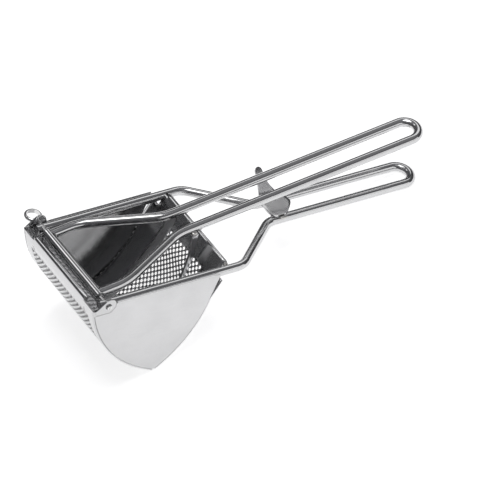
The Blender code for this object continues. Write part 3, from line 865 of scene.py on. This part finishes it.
def welds():
    leg_z = STRUT_TOP.x * math.tan(LEVER_PITCH)
    for side, word in ((-1, "left"), (1, "right")):
        at = (STRUT_TOP.x, side * (STRUT_TOP_Y - 1.6), leg_z - 2.6)
        bead("strut_weld_" + word, at, STRUT_WELD, "lever", 3 + side)
        at = (1.5, side * (LEVER_Y - ROD_R), 1.4)
        bead("sleeve_weld_" + word, at, SLEEVE_WELD, "lever", 7 + side)
        at = (REST_ROOT_X + side * 2.0, side * (HANDLE_Y + 3.0), REST_Z - 1.2)
        bead("rest_weld_" + word, at, REST_WELD, "hopper", 11 + side)
        at = (REAR_CROSS_AT.x, side * (REAR_CROSS_HALF + 0.6), REAR_CROSS_AT.y - 0.6)
        bead("rear_bar_weld_" + word, at, BAR_WELD, "hopper", 15 + side)


# ---------- scene ----------


def softbox(name, bearing, height, distance, size, radiance):
    """An area light seen from the tool at a bearing and height in degrees, with a given brightness."""
    light = bpy.data.lights.new(name, "AREA")
    light.shape = "RECTANGLE"
    light.size, light.size_y = size
    light.energy = math.pi * size[0] * size[1] * radiance
    obj = bpy.data.objects.new(name, light)
    bpy.context.collection.objects.link(obj)
    level = distance * math.cos(math.radians(height))
    turn = math.radians(bearing)
    rise = distance * math.sin(math.radians(height))
    place = Vector((level * math.cos(turn), level * math.sin(turn), rise))
    obj.location = place
    obj.rotation_euler = (-place).to_track_quat("-Z", "Y").to_euler()


def backdrop():
    """A dim surround, lighter overhead."""
    world = bpy.data.worlds.new("studio")
    bpy.context.scene.world = world
    world.use_nodes = True
    nodes, links = world.node_tree.nodes, world.node_tree.links
    back = nodes["Background"]
    coord = nodes.new("ShaderNodeTexCoord")
    split = nodes.new("ShaderNodeSeparateXYZ")
    ramp = nodes.new("ShaderNodeValToRGB")
    ramp.color_ramp.elements[0].position = 0.0
    ramp.color_ramp.elements[0].color = (0.05, 0.05, 0.053, 1)
    ramp.color_ramp.elements[1].position = 1.0
    ramp.color_ramp.elements[1].color = (0.30, 0.30, 0.31, 1)
    mid = ramp.color_ramp.elements.new(0.5)
    mid.color = (0.11, 0.11, 0.115, 1)
    links.new(coord.outputs["Generated"], split.inputs[0])
    links.new(split.outputs["Z"], ramp.inputs["Fac"])
    links.new(ramp.outputs["Color"], back.inputs["Color"])
    back.inputs["Strength"].default_value = 1.0


def ground():
    """A plain pale floor just under the tool."""
    floor_mat = bpy.data.materials.new("floor")
    floor_mat.use_nodes = True
    shader = floor_mat.node_tree.nodes["Principled BSDF"]
    shader.inputs["Base Color"].default_value = (0.92, 0.92, 0.92, 1)
    shader.inputs["Roughness"].default_value = 0.9
    shader.inputs["Specular IOR Level"].default_value = 0.1
    shader.inputs["Emission Color"].default_value = (1, 1, 1, 1)
    shader.inputs["Emission Strength"].default_value = FLOOR_GLOW
    mesh = bpy.data.meshes.new("floor")
    half = FLOOR_HALF
    z = cad_box[0].z - FLOOR_DROP
    corners = [(-half, -half, z), (half, -half, z), (half, half, z), (-half, half, z)]
    mesh.from_pydata(corners, [], [(0, 1, 2, 3)])
    mesh.materials.append(floor_mat)
    floor = bpy.data.objects.new("floor", mesh)
    bpy.context.collection.objects.link(floor)


def camera():
    back = CAMERA_RIGHT.cross(CAMERA_UP).normalized()
    up = back.cross(CAMERA_RIGHT.normalized()).normalized()
    right = up.cross(back)
    cam = bpy.data.cameras.new("camera")
    cam.sensor_width = SENSOR_WIDTH
    cam.lens = CAMERA_LENS
    cam.clip_start = 0.05
    cam.clip_end = 50.0
    obj = bpy.data.objects.new("camera", cam)
    bpy.context.collection.objects.link(obj)
    turn = Matrix((right, up, back)).transposed().to_4x4()
    spot = (CAMERA_TARGET + back * CAMERA_DISTANCE) * MM
    obj.matrix_world = STAND @ Matrix.Translation(spot) @ turn
    bpy.context.scene.camera = obj


# ---------- build ----------


frame_rod()
lever_rod()
cross_rod("front_bar", "front_cross_rod", front_cross_at(), FRONT_CROSS_R, FRONT_CROSS_HALF)
cross_rod("rear_bar", "rear_cross_rod", REAR_CROSS_AT, REAR_CROSS_R, REAR_CROSS_HALF)
front_wall()
rear_wall()
side_plate("side_panel_left", "side_plate_left", -1)
side_plate("side_panel_right", "side_plate_right", 1)
pot_rest()
hinge_sleeve()
press_plate()
press_strut("strut_left", "press_strut_left", -1)
press_strut("strut_right", "press_strut_right", 1)
hinge_pin()
welds()
backdrop()
ground()
for light in SOFTBOXES:
    softbox(*light)
camera()

scene = bpy.context.scene
scene.view_settings.view_transform = "Standard"
scene.view_settings.look = "None"
